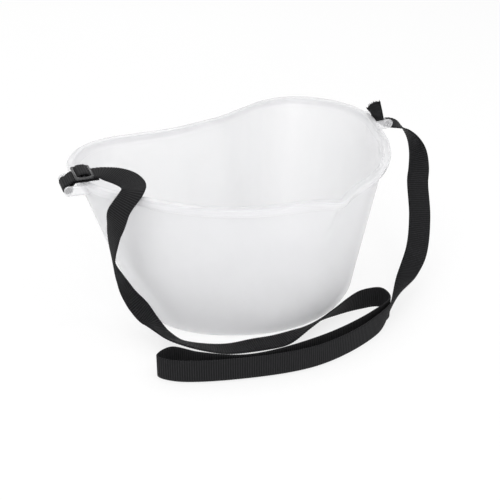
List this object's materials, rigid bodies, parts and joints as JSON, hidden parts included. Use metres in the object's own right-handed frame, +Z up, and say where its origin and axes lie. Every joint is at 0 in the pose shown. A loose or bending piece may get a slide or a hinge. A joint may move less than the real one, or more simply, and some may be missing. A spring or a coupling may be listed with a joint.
{
  "type": "picking bucket",
  "caption": "Milky clear picking bucket with a hollow back, a pouring spout in front and a black webbing strap that is set with a slider.",
  "frame": {"origin": "On the floor plane, under the middle of the base outline's width and depth.", "axes": "+X runs from the lug with the slider to the other lug, +Y points to the hollow back, and +Z is up. The spout points to -Y."},
  "size_m": [0.3469, 0.2427, 0.151],
  "materials": {
    "bucket_plastic": "milky clear natural polypropylene, smooth and glossy",
    "strap_webbing": "black woven webbing with fine ribs across it",
    "slider_plastic": "black moulded plastic with a soft gloss"
  },
  "bodies": {
    "bucket": {"bucket": "bucket_plastic", "strap": "strap_webbing"},
    "slider": {"slider": "slider_plastic", "webbing_fold": "strap_webbing"}
  },
  "joints": [
    {"name": "slider_slide", "type": "slide", "parent": "bucket", "child": "slider", "axis": [0.9613, -0.2756, 0], "range_m": [0, 0.006]}
  ]
}
